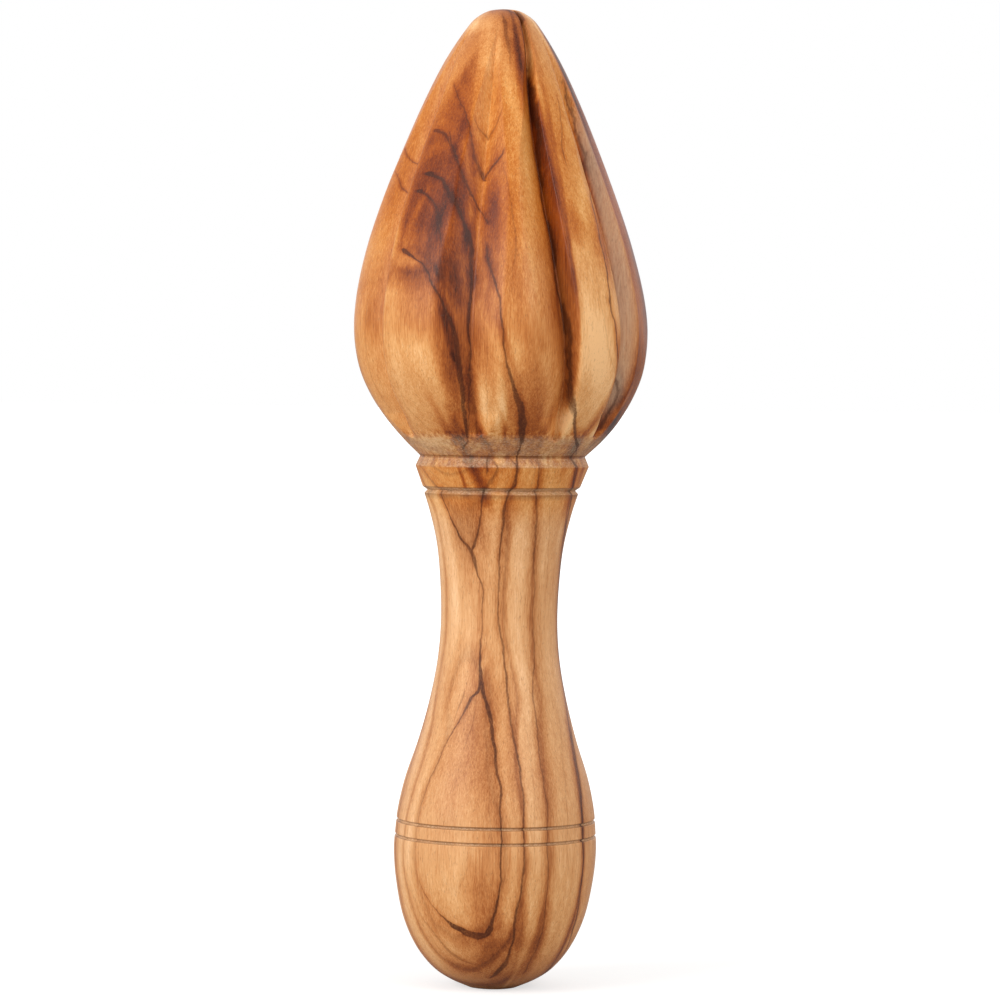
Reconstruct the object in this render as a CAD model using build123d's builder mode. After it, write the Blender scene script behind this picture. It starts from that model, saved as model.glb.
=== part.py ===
from build123d import *
import math
import os

# A hand-turned wooden citrus reamer, made from one blank: a bulbous handle, a bevelled
# collar and a pointed head with carved flutes. Millimetres, +Z along the turning axis from
# the butt to the tip, origin at the centre of the butt. The front is the side towards -Y.

# Handle
butt_flat_radius = 4.0
bulb_radius = 16.6
bulb_height = 22.7
waist_radius = 9.55
waist_height = 60.3
neck_radius = 12.6
handle_length = 81.0

# Two fine grooves turned round the bulb, just above its widest place
groove_radius = 0.35
bulb_groove_shares = (0.055, 0.118)

# Collar between two turned notches
neck_groove_width = 1.1
neck_groove_depth = 0.5
collar_foot_radius = 12.9
collar_radius = 14.2
collar_corner_height = 3.4
collar_height = 5.0
notch_radius = 13.5

# Head
head_radius = 24.0
head_length = 72.9
head_widest_height = 19.8
tip_flat_radius = 1.2

# Flutes, each a V-shaped cut along the head: its left cheek curves out into a rounded rib,
# and its right wall is flat. The cheek's top stays just clear of the uncut rib.
flute_depth = 3.3
flute_left_width = 7.8
flute_right_width = 4.4
flute_cheek_bulge = 1.15
cheek_clearance = 0.2
overrun = 6.0

# Heights of the main places above the butt
collar_foot = handle_length + neck_groove_width
notch_height = collar_foot + collar_height
head_widest = notch_height + head_widest_height
tip_height = notch_height + head_length

# Points between the named places, as shares of the radius and height of each stretch
butt_shares = ((0.262, 0.065), (0.452, 0.137), (0.674, 0.282), (0.857, 0.498), (0.970, 0.784))
bulb_to_waist_shares = ((0.224, 0.306), (0.524, 0.479), (0.766, 0.652), (0.937, 0.827))
waist_to_neck_shares = ((0.112, 0.385), (0.300, 0.615), (0.680, 0.850))
head_foot_shares = ((0.257, 0.131), (0.524, 0.298), (0.767, 0.505), (0.924, 0.712))
head_taper_shares = ((0.096, 0.262), (0.211, 0.414), (0.351, 0.569), (0.504, 0.723),
                     (0.645, 0.846), (0.781, 0.938), (0.842, 0.970), (0.934, 0.994))

# One row per flute: its azimuth from the front in degrees, and its depth, left width and
# right width as shares of the flute sizes. They differ because the flutes are cut by hand.
# The last is the floor's depth beside the tip: one flute runs on over it, the rest start below.
flute_rows_shares = (
    (-61.0, 0.95, 1.20, 0.50, -0.40),
    (-12.0, 0.90, 0.90, 1.15, -0.45),
    (29.0, 1.05, 1.15, 0.45, 0.10),
    (61.0, 1.00, 0.85, 0.80, -0.35),
    (106.0, 1.00, 1.15, 0.60, -0.40),
    (155.0, 0.95, 1.15, 0.55, -0.30),
    (203.0, 1.05, 1.10, 0.60, -0.45),
    (251.0, 1.00, 1.15, 0.50, -0.35),
)

# How deep a flute's floor lies below the head, as a share of the flute's depth, at shares of
# the way up the head's taper and up its foot. A negative depth is clear of the head.
beside_tip_share = 0.97
floor_taper_shares = ((0.85, 0.12), (0.65, 0.62), (0.40, 0.92), (0.15, 1.0))
floor_foot_shares = ((0.80, 0.98), (0.50, 0.80), (0.20, 0.38))

half_share = 0.5


def between(start, end, shares):
    """Points between two places of an outline, at shares of its change in radius and height."""
    return [
        (start[0] + (end[0] - start[0]) * radius_share, start[1] + (end[1] - start[1]) * height_share)
        for radius_share, height_share in shares
    ]


def below_surface(curve, share, depth):
    """The point at this depth inside the head's outline, square to it."""
    surface = curve @ share
    along = curve % share
    return (surface.X - along.Y * depth, surface.Y + along.X * depth)


# The places that the turned outline passes through, as radius and height
butt_edge = (butt_flat_radius, 0)
bulb_widest = (bulb_radius, bulb_height)
waist = (waist_radius, waist_height)
neck = (neck_radius, handle_length)
neck_groove_floor = (neck_radius - neck_groove_depth, handle_length + neck_groove_width * half_share)
collar_foot_edge = (collar_foot_radius, collar_foot)
collar_edge = (collar_radius, collar_foot + collar_corner_height)
notch = (notch_radius, notch_height)
head_edge = (head_radius, head_widest)
tip_edge = (tip_flat_radius, tip_height)

with BuildPart() as reamer:
    # The turned blank
    with BuildSketch(Plane.XZ):
        with BuildLine():
            Line((0, 0), butt_edge)
            Spline(
                butt_edge,
                *between(butt_edge, bulb_widest, butt_shares),
                bulb_widest,
                tangents=[(1, 0), (0, 1)],
            )
            shoulder = Spline(
                bulb_widest,
                *between(bulb_widest, waist, bulb_to_waist_shares),
                waist,
                tangents=[(0, 1), (0, 1)],
            )
            Spline(
                waist,
                *between(waist, neck, waist_to_neck_shares),
                neck,
                tangents=[(0, 1), (1, 2)],
            )
            Polyline(neck, neck_groove_floor, collar_foot_edge, collar_edge, notch)
            foot = Spline(
                notch,
                *between(notch, head_edge, head_foot_shares),
                head_edge,
                tangents=[(1, 1), (0, 1)],
            )
            taper = Spline(
                head_edge,
                *between(head_edge, tip_edge, head_taper_shares),
                tip_edge,
                tangents=[(0, 1), (-1, 0)],
            )
            Polyline(tip_edge, (0, tip_height), (0, 0))
        make_face()
        with Locations(*[shoulder @ share for share in bulb_groove_shares]):
            Circle(groove_radius, mode=Mode.SUBTRACT)
    revolve(axis=Axis.Z)

    # The carved flutes
    for azimuth, depth_share, left_share, right_share, tip_share in flute_rows_shares:
        outward = Vector(0, -1, 0).rotate(Axis.Z, azimuth)
        rightward = Vector(1, 0, 0).rotate(Axis.Z, azimuth)
        depth = flute_depth * depth_share
        taper_floor = ((beside_tip_share, tip_share), *floor_taper_shares)
        with BuildLine(Plane((0, 0, 0), x_dir=outward, z_dir=-rightward)):
            flute_floor = Spline(
                *[below_surface(taper, share, depth * floor) for share, floor in taper_floor],
                *[below_surface(foot, share, depth * floor) for share, floor in floor_foot_shares],
            )
        cutter_height = depth + overrun
        left_width = flute_left_width * left_share
        cheek_top = depth - head_radius + math.sqrt(head_radius**2 - left_width**2) + cheek_clearance
        right_reach = flute_right_width * right_share * cutter_height / depth
        with BuildSketch(Plane(flute_floor @ 0, x_dir=rightward, z_dir=flute_floor % 0)):
            with BuildLine():
                SagittaArc((-left_width, cheek_top), (0, 0), flute_cheek_bulge * left_share)
                Polyline(
                    (0, 0),
                    (right_reach, cutter_height),
                    (-left_width, cutter_height),
                    (-left_width, cheek_top),
                )
            make_face()
        sweep(path=flute_floor, mode=Mode.SUBTRACT)

reamer.part.label = "reamer"
os.makedirs("parts", exist_ok=True)
export_step(reamer.part, "parts/reamer.step")
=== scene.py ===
import math

import bpy
import numpy as np
from mathutils import Matrix, Vector


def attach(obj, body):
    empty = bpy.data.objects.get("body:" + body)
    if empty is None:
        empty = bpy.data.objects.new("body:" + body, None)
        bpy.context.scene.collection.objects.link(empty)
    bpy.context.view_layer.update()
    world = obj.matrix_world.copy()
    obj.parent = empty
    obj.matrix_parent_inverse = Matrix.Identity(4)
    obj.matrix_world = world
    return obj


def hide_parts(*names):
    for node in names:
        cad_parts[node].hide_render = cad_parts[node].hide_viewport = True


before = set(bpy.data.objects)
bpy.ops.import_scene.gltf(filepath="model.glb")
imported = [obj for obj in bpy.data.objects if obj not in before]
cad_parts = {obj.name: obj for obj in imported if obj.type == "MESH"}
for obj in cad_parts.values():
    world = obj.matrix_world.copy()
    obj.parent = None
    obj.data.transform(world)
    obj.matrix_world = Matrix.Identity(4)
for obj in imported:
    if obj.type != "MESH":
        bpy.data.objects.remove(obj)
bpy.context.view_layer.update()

# The reamer is one piece of wood, so one mesh stands for it: the turned outline, with the
# flutes, their ribs and the marks of hand work cut into it. Sizes are in millimetres until
# the mesh is made. Azimuths are in degrees from the front (-Y), growing towards +X.
MM_PER_M = 1000.0

# The turned outline: radius and height of the places that it passes through
BUTT_TO_NECK = (
    (4, 0), (7.3, 1.47), (9.7, 3.1), (12.5, 6.4), (14.8, 11.3), (16.2, 17.8),
    (16.6, 22.7), (16.42, 26), (16.1, 29.2), (15.02, 34.2), (12.92, 40.7), (11.21, 47.2),
    (10, 53.8), (9.55, 60.3), (9.89, 68.3), (10.47, 73), (11.63, 77.9), (12.6, 81),
)
COLLAR = ((12.6, 81), (12.1, 81.55), (12.9, 82.1), (14.2, 85.5), (13.5, 87.1))
FOOT_TO_TIP = (
    (13.5, 87.1), (16.2, 89.69), (19, 93), (21.55, 97.1), (23.2, 101.2), (24, 106.9),
    (23.6, 112.7), (21.81, 120.8), (19.19, 128.9), (16, 137.1), (12.51, 145.3),
    (9.3, 151.8), (6.19, 156.7), (4.8, 158.4), (2.7, 159.7), (1.2, 160),
)
TIP_HEIGHT = 160

# The grooves round the bulb, as height, half width and depth. Each is a parabola, GROOVE_FLOOR
# times as deep, with its floor flattened.
BULB_GROOVES = ((25, 0.24, 0.36), (27.5, 0.26, 0.40))
GROOVE_FLOOR = 1.15

# The outline's points are a step apart, and sharp edges are worn over a few of them
STEP = 0.02
WORN_STEPS = 11

# Rows of the mesh are closer together at the two ends and in the fine spans
ROW_GAP, END_GAP, FINE_GAP = 0.3, 0.16, 0.08
BUTT_END, TIP_END = 0.4, 159
FINE_SPANS = ((24.2, 28.4), (80.4, 88))
TINY = 1e-9


def steps_between(a, b):
    """How many steps of the outline lie between two points."""
    return max(2, int(np.hypot(*(b - a)) / STEP))


def curve_through(points):
    """Points every step along a smooth curve through the given ones, chord-length spaced."""
    p = np.array(points, dtype=float)
    chord = np.sqrt(np.hypot(*np.diff(p, axis=0).T))
    t = np.concatenate(([0.0], np.cumsum(chord)))
    slope = np.zeros_like(p)
    before = (p[1:-1] - p[:-2]) / (t[1:-1] - t[:-2])[:, None]
    after = (p[2:] - p[1:-1]) / (t[2:] - t[1:-1])[:, None]
    slope[1:-1] = before * (t[2:] - t[1:-1])[:, None] + after * (t[1:-1] - t[:-2])[:, None]
    slope[1:-1] /= (t[2:] - t[:-2])[:, None]
    slope[0] = (p[1] - p[0]) / (t[1] - t[0])
    slope[-1] = (p[-1] - p[-2]) / (t[-1] - t[-2])
    line = [p[0]]
    for i in range(len(p) - 1):
        h = t[i + 1] - t[i]
        u = np.linspace(0, 1, steps_between(p[i], p[i + 1]) + 1)[1:, None]
        line.extend((2 * u**3 - 3 * u**2 + 1) * p[i] + (u**3 - 2 * u**2 + u) * h * slope[i]
                    + (3 * u**2 - 2 * u**3) * p[i + 1] + (u**3 - u**2) * h * slope[i + 1])
    return np.array(line)


def straight_through(points):
    """Points every step along straight runs."""
    p = np.array(points, dtype=float)
    line = [p[0]]
    for a, b in zip(p[:-1], p[1:]):
        line.extend(a + (b - a) * u for u in np.linspace(0, 1, steps_between(a, b) + 1)[1:])
    return np.array(line)


def outline():
    """The turned outline, (radius, height), with sharp edges worn by about 0.1 mm."""
    line = np.concatenate((
        straight_through(((0.0, 0.0), BUTT_TO_NECK[0]))[:-1],
        curve_through(BUTT_TO_NECK)[:-1],
        straight_through(COLLAR)[:-1],
        curve_through(FOOT_TO_TIP)[:-1],
        straight_through((FOOT_TO_TIP[-1], (0.0, TIP_HEIGHT))),
    ))
    length = np.concatenate(([0.0], np.cumsum(np.hypot(*np.diff(line, axis=0).T))))
    even = np.arange(0.0, length[-1], STEP)
    line = np.stack([np.interp(even, length, line[:, i]) for i in (0, 1)], axis=1)
    for height, half_width, depth in BULB_GROOVES:
        near = np.abs(line[:, 1] - height) / half_width
        line[:, 0] -= depth * np.clip(GROOVE_FLOOR - near**2, 0, 1)
    kernel = np.hanning(WORN_STEPS)
    kernel /= kernel.sum()
    padded = [np.pad(line[:, i], WORN_STEPS // 2, mode="edge") for i in (0, 1)]
    worn = np.stack([np.convolve(values, kernel, "valid") for values in padded], axis=1)
    worn[0] = (0.0, 0.0)
    worn[-1] = (0.0, TIP_HEIGHT)
    return worn


def rows():
    """The points of the outline at which the mesh has a row."""
    line = outline()
    pick = [0]
    last = 0.0
    for i in range(1, len(line) - 1):
        z = line[i, 1]
        if any(low < z < high for low, high in FINE_SPANS):
            gap = FINE_GAP
        else:
            gap = END_GAP if z < BUTT_END or z > TIP_END else ROW_GAP
        if i * STEP - last >= gap - TINY:
            pick.append(i)
            last = i * STEP
    pick.append(len(line) - 1)
    return line[pick]


# Each flute's depth and the heights of its tip end and foot end, and then, at these heights, the
# azimuth of its valley, the widths of its left cheek and right wall at full depth, and how
# hollow the cheek is (1 is flat)
AT_HEIGHTS = (160, 145, 128, 112, 90)
FLUTES = (
    (3.1, 158, 90, (-58, -59, -61, -60, -62), (6, 7.5, 9, 9.2, 9.2),
     (2.6, 3, 3.3, 3.6, 3.6), (1.6, 1.7, 1.75, 1.75, 1.75)),
    (3, 157, 90.3, (-8, -9.5, -11, -12.5, -14), (3.2, 3.3, 4.2, 6.8, 7.6),
     (3.4, 3.6, 5.6, 5.9, 5.4), (1, 1, 1.2, 1.6, 1.75)),
    (3.5, 165, 89.5, (38, 24.5, 25.2, 28.2, 32), (2.4, 3.2, 6, 8.4, 8.6),
     (0.9, 0.9, 1, 1.2, 1.5), (1, 1.1, 1.5, 1.75, 1.7)),
    (2.7, 157.5, 90, (60, 60, 61, 62, 63.5), (4.6, 5.2, 5.8, 6, 6),
     (1.3, 1.5, 1.9, 2.3, 2.4), (1.5, 1.6, 1.7, 1.7, 1.7)),
    (3.3, 157.5, 90.2, (104, 105, 106, 107, 107), (5, 6, 8, 8.6, 8.6),
     (2.2, 2.4, 2.6, 2.6, 2.6), (1.4, 1.5, 1.75, 1.75, 1.75)),
    (3.1, 160, 89.8, (156, 155, 155, 154, 153), (5, 6.4, 8.4, 8.8, 8.8),
     (2, 2.2, 2.4, 2.4, 2.4), (1.4, 1.6, 1.75, 1.75, 1.75)),
    (3.4, 157, 90.1, (202, 203, 203, 204, 205), (4.6, 6, 8, 8.4, 8.4),
     (2.4, 2.6, 2.6, 2.6, 2.6), (1.3, 1.4, 1.75, 1.75, 1.75)),
    (3.3, 158, 90, (250, 250.5, 251, 251.5, 252), (5, 6.6, 8.4, 8.8, 8.8),
     (2, 2.2, 2.2, 2.2, 2.2), (1.5, 1.6, 1.75, 1.75, 1.75)),
)
AZIMUTHS = 3
SECOND_FLUTE, THIRD_FLUTE = 1, 2

# Share of a flute's depth by the distance above its foot end. The first FOOT_REACH of it runs up
# to FLUTE_MIDDLE, and the last TIP_REACH from there to the tip end.
DEPTH_SHARES = ((0, 0), (0.5, 0.34), (4, 0.80), (11.5, 0.98), (25, 1),
                (43, 0.94), (55, 0.66), (62, 0.36), (70, 0))
FOOT_REACH, TIP_REACH = 30, 40
FLUTE_MIDDLE = 120

# Columns of the mesh on a flute's right wall, the rib after it and the next left cheek
WALL_COLUMNS, RIB_COLUMNS, CHEEK_COLUMNS = 10, 20, 28
# What keeps the columns apart: the least share of the depth, the widest cheek and wall (radians),
# two shares of the way from valley to valley, and least radii
LEAST_SHARE, WIDEST_CHEEK, WIDEST_WALL = 0.3, 0.40, 0.30
WALL_LIMIT, RIB_LEAST = 0.45, 0.08
COLUMN_RADIUS, SIDE_RADIUS = 3, 2.2

# The foot of the flutes, where their cut starts and how far it fades in, the soft edge of a rib
# and the most of the radius that a cut may take
FLUTES_FOOT = 90
CUT_FROM, CUT_FADE = 88.9, 0.5
SOFT_EDGE = 0.14
MOST_CUT = 0.8

# Hand work: how a flute's lip sways (size, rate, start per flute), and how uneven the surface is
# (size, waves round, rate up, start, and whether only where it is carved)
LIP_SWAYS = ((0.10, 0.23, 1.7), (0.05, 0.61, 2.9))
LIP_SHARE, FLOOR_SHARE = 2, 0.04
WAVES = ((0.05, 3, 0.10, 0, False), (0.04, 5, -0.07, 1.3, False), (0.03, 11, 0.21, 0, True))
CARVED_FROM, CARVED_FADE = 92, 8
WAVE_RADIUS, WAVE_SHARE = 12, 0.7


def at_height(z, values):
    """Values given at AT_HEIGHTS, smoothly between them."""
    t = np.interp(z, AT_HEIGHTS[::-1], np.arange(len(AT_HEIGHTS), dtype=float))
    values = np.array(values[::-1], dtype=float)
    i = np.clip(t.astype(int), 0, len(values) - 2)
    u = t - i
    before, after = values[np.maximum(i - 1, 0)], values[np.minimum(i + 2, len(values) - 1)]
    a, b = values[i], values[i + 1]
    bend = 2 * before - 5 * a + 4 * b - after + u * (3 * (a - b) + after - before)
    return a + 0.5 * u * (b - before + u * bend)


def smooth_positive(value, soft):
    """The value where it is positive and zero elsewhere, rounded over about soft."""
    return 0.5 * (value + np.sqrt(value**2 + soft**2)) - 0.5 * soft


def depth_share(z, tip_end, foot_end):
    """Share of a flute's full depth at this height."""
    heights = np.array([h for h, _ in DEPTH_SHARES])
    above = FLUTE_MIDDLE + (heights - FOOT_REACH) * (tip_end - FLUTE_MIDDLE) / TIP_REACH
    below = foot_end + heights * (FLUTE_MIDDLE - foot_end) / FOOT_REACH
    heights = np.where(heights > FOOT_REACH, above, below)
    return np.interp(z, heights, [share for _, share in DEPTH_SHARES])


def column_azimuths(z, base):
    """Azimuths (radians) of every mesh point: columns follow the flutes' valleys and edges."""
    radius = np.interp(np.clip(z, FLUTES_FOOT, TIP_HEIGHT), z, np.maximum(base, COLUMN_RADIUS))
    z = np.clip(z, FLUTES_FOOT, TIP_HEIGHT)
    valleys, lefts, rights = [], [], []
    for _, tip_end, foot_end, azimuths, left, right, hollow in FLUTES:
        share = np.clip(depth_share(z, tip_end, foot_end), LEAST_SHARE, 1.0)
        cheek = at_height(z, left) * (1 - (1 - share) ** (1 / at_height(z, hollow)))
        valleys.append(np.radians(at_height(z, azimuths)))
        lefts.append(np.minimum(cheek / radius, WIDEST_CHEEK))
        rights.append(np.minimum(at_height(z, right) * share / radius, WIDEST_WALL))
    columns = []
    for i in range(len(FLUTES)):
        j = (i + 1) % len(FLUTES)
        start, end = valleys[i], valleys[j] + (2 * math.pi if j == 0 else 0)
        wall = np.minimum(start + rights[i], start + WALL_LIMIT * (end - start))
        cheek = np.maximum(end - lefts[j], wall + RIB_LEAST * (end - start))
        for a, b, n in ((start, wall, WALL_COLUMNS), (wall, cheek, RIB_COLUMNS),
                        (cheek, end, CHEEK_COLUMNS)):
            columns.extend(a + (b - a) * k / n for k in range(n))
    return np.array(columns).T


def head_grid(line):
    """Azimuths (radians) and radii of every mesh point, rows by columns."""
    z = line[:, 1]
    base = line[:, 0]
    azimuth = column_azimuths(z, base)
    radius = np.repeat(base[:, None], azimuth.shape[1], axis=1)
    tall = z[:, None]
    held = np.clip(z, FLUTES_FOOT, TIP_HEIGHT)
    cut = np.zeros_like(radius)
    for i, (depth, tip_end, foot_end, azimuths, left, right, hollow) in enumerate(FLUTES):
        valley = np.radians(at_height(held, azimuths))[:, None]
        away = (azimuth - valley + math.pi) % (2 * math.pi) - math.pi
        side = away * np.maximum(base, SIDE_RADIUS)[:, None]
        raised = depth * (1 - depth_share(z, tip_end, foot_end))[:, None]
        sway = sum(size * np.sin(tall * rate + start * i) for size, rate, start in LIP_SWAYS)
        lip = 1 - np.clip(-side / (at_height(held, left)[:, None] + sway * LIP_SHARE), 0, 1)
        cheek = depth * lip ** at_height(held, hollow)[:, None]
        wall = depth * (1 - side / at_height(held, right)[:, None])
        profile = np.where(side < 0, cheek, wall)
        cut = np.maximum(cut, smooth_positive(profile - raised + FLOOR_SHARE * sway, SOFT_EDGE))
    cut = cut * np.clip((tall - CUT_FROM) / CUT_FADE, 0, 1)
    radius = radius - np.minimum(cut, MOST_CUT * radius)
    carved = np.clip((tall - CARVED_FROM) / CARVED_FADE, 0, 1)
    wave = sum(size * np.sin(turns * azimuth + rate * tall + start) * (carved if carving else 1)
               for size, turns, rate, start, carving in WAVES)
    radius = radius + wave * np.clip(base / WAVE_RADIUS, 0, 1)[:, None] * WAVE_SHARE
    return azimuth, radius


# The blank wasn't dead straight: how far its middle lies towards +X, by height, evened out over
# some rows and fading out near the axis
BOW = ((0, -0.30), (25, -0.15), (45, 0.12), (60, 0.22), (75, 0.30), (82, 0.30), (91, 0.50),
       (96, 0.25), (104, -0.05), (120, -0.32), (131, -0.40), (146, -0.25), (153, -0.20),
       (160, -0.05))
BOW_ROWS = 17
BOW_RADIUS = 4


def build_mesh():
    """The whole reamer as one closed mesh of rows and columns, with a fan at each end."""
    line = rows()
    azimuth, radius = head_grid(line)
    n_rows, n_cols = radius.shape
    bow = np.pad(np.interp(line[:, 1], *zip(*BOW)), BOW_ROWS // 2, mode="edge")
    bow = np.convolve(bow, np.full(BOW_ROWS, 1 / BOW_ROWS), "valid")[:, None]
    x = radius * np.sin(azimuth) + bow * np.clip(line[:, :1] / BOW_RADIUS, 0, 1)
    y = -radius * np.cos(azimuth)
    z = np.repeat(line[:, 1][:, None], n_cols, axis=1)
    points = np.stack((x, y, z), axis=2)[1:-1].reshape(-1, 3)
    points = np.concatenate((points, [(0.0, 0.0, 0.0), (0.0, 0.0, TIP_HEIGHT)])) / MM_PER_M
    inner = n_rows - 2
    i = np.arange(inner - 1)[:, None] * n_cols
    j = np.arange(n_cols)[None, :]
    k = (j + 1) % n_cols
    quads = np.stack((i + j, i + k, i + n_cols + k, i + n_cols + j), axis=2).reshape(-1, 4)
    foot, tip = len(points) - 2, len(points) - 1
    last = (inner - 1) * n_cols
    fans = [(foot, int(k[0, c]), c) for c in range(n_cols)]
    fans += [(tip, last + c, last + int(k[0, c])) for c in range(n_cols)]
    mesh = bpy.data.meshes.new("reamer_wood")
    mesh.from_pydata(points.tolist(), [], quads.tolist() + fans)
    mesh.update()
    mesh.shade_smooth()
    obj = bpy.data.objects.new("reamer_wood", mesh)
    bpy.context.scene.collection.objects.link(obj)
    return obj


reamer = build_mesh()
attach(reamer, "root")
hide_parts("reamer")


# The wood's growth layers are nearly flat and run along the tool. A point's layer number is
# x * LAYER_X - y * LAYER_Y + LAYER_SHIFT, in mm, each read at the point's height, so the
# figure on the surface (arches, V shapes, ovals) comes from where the shape crosses them.
LAYER_HEIGHTS = (0, 14, 28, 42, 56, 70, 84, 94, 104, 116, 128, 144, 160)
LAYER_X = (
    -0.42, -0.375, -0.378, -0.367, -0.427, -0.445, -0.51, -0.77, -0.78, -0.73, -0.64, -0.58,
    -0.64,
)
LAYER_Y = (0.9, 0.87, 0.85, 0.82, 0.765, 0.736, 0.728, 0.565, 0.485, 0.64, 0.87, 1.085, 1.335)
LAYER_SHIFT = (-0.5, -3.3, -3, -0.36, 1.9, 1.75, 0, 0.07, -2.1, -6.2, -8.85, -9.2, -4.7)

# Dark lines: layer number, half width, and how dark in the handle and in the head. A ramp holds
# those of one span. The profile is how dark a line is at places across it, in half widths.
LINES = (
    (-32.6, 0.3, 0.5, 0.5), (-30.9, 0.2, 0.3, 0.3), (-29.4, 0.4, 0.7, 0.6),
    (-27.6, 0.18, 0.3, 0.3), (-25.9, 0.3, 0.6, 0.6), (-23.8, 0.2, 0.3, 0.35),
    (-20.6, 0.3, 0.6, 0.6), (-19, 0.15, 0.3, 0.3), (-17.2, 0.35, 0.8, 0.7),
    (-15.6, 0.15, 0.3, 0.3), (-14.3, 0.22, 0.5, 0.4), (-11.1, 0.28, 0.5, 0.85),
    (-9.9, 0.14, 0.25, 0.45), (-8.2, 0.12, 0.2, 0.2), (-6.9, 0.14, 0.35, 0.15),
    (-5.3, 0.12, 0.2, 0.15), (-3.9, 0.12, 0.25, 0.3), (-2.7, 0.14, 0.3, 0.45),
    (-1.58, 0.32, 0.95, 0.95), (-0.75, 0.12, 0.3, 0.45), (0.55, 0.1, 0.15, 0.3),
    (1.9, 0.12, 0.2, 0.3), (3.3, 0.12, 0.2, 0.15), (4.5, 0.1, 0.15, 0.15),
    (5.13, 0.15, 0.15, 0.4), (5.65, 0.22, 0.5, 0.12), (6.56, 0.16, 0.2, 0.6),
    (7.3, 0.1, 0.05, 0.2), (8.62, 0.19, 0.9, 0.75), (9.25, 0.1, 0.25, 0.2), (9.9, 0.12, 0.1, 0.2),
    (10.47, 0.22, 0.8, 0.9), (11.3, 0.12, 0.2, 0.3), (12.05, 0.2, 0.25, 0.7),
    (12.9, 0.12, 0.15, 0.3), (14.2, 0.4, 0.4, 1), (15.3, 0.12, 0.2, 0.4), (16.6, 0.12, 0.1, 0.25),
    (17.9, 0.12, 0.1, 0.2), (19.2, 0.15, 0.1, 0.3),
)
LINE_SPANS = (-34, -22, -12.4, -3.4, 4, 9.6, 20)
LINE_PROFILE = ((-1.0, 0.0), (0.15, 1.0), (0.8, 0.0))

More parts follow.
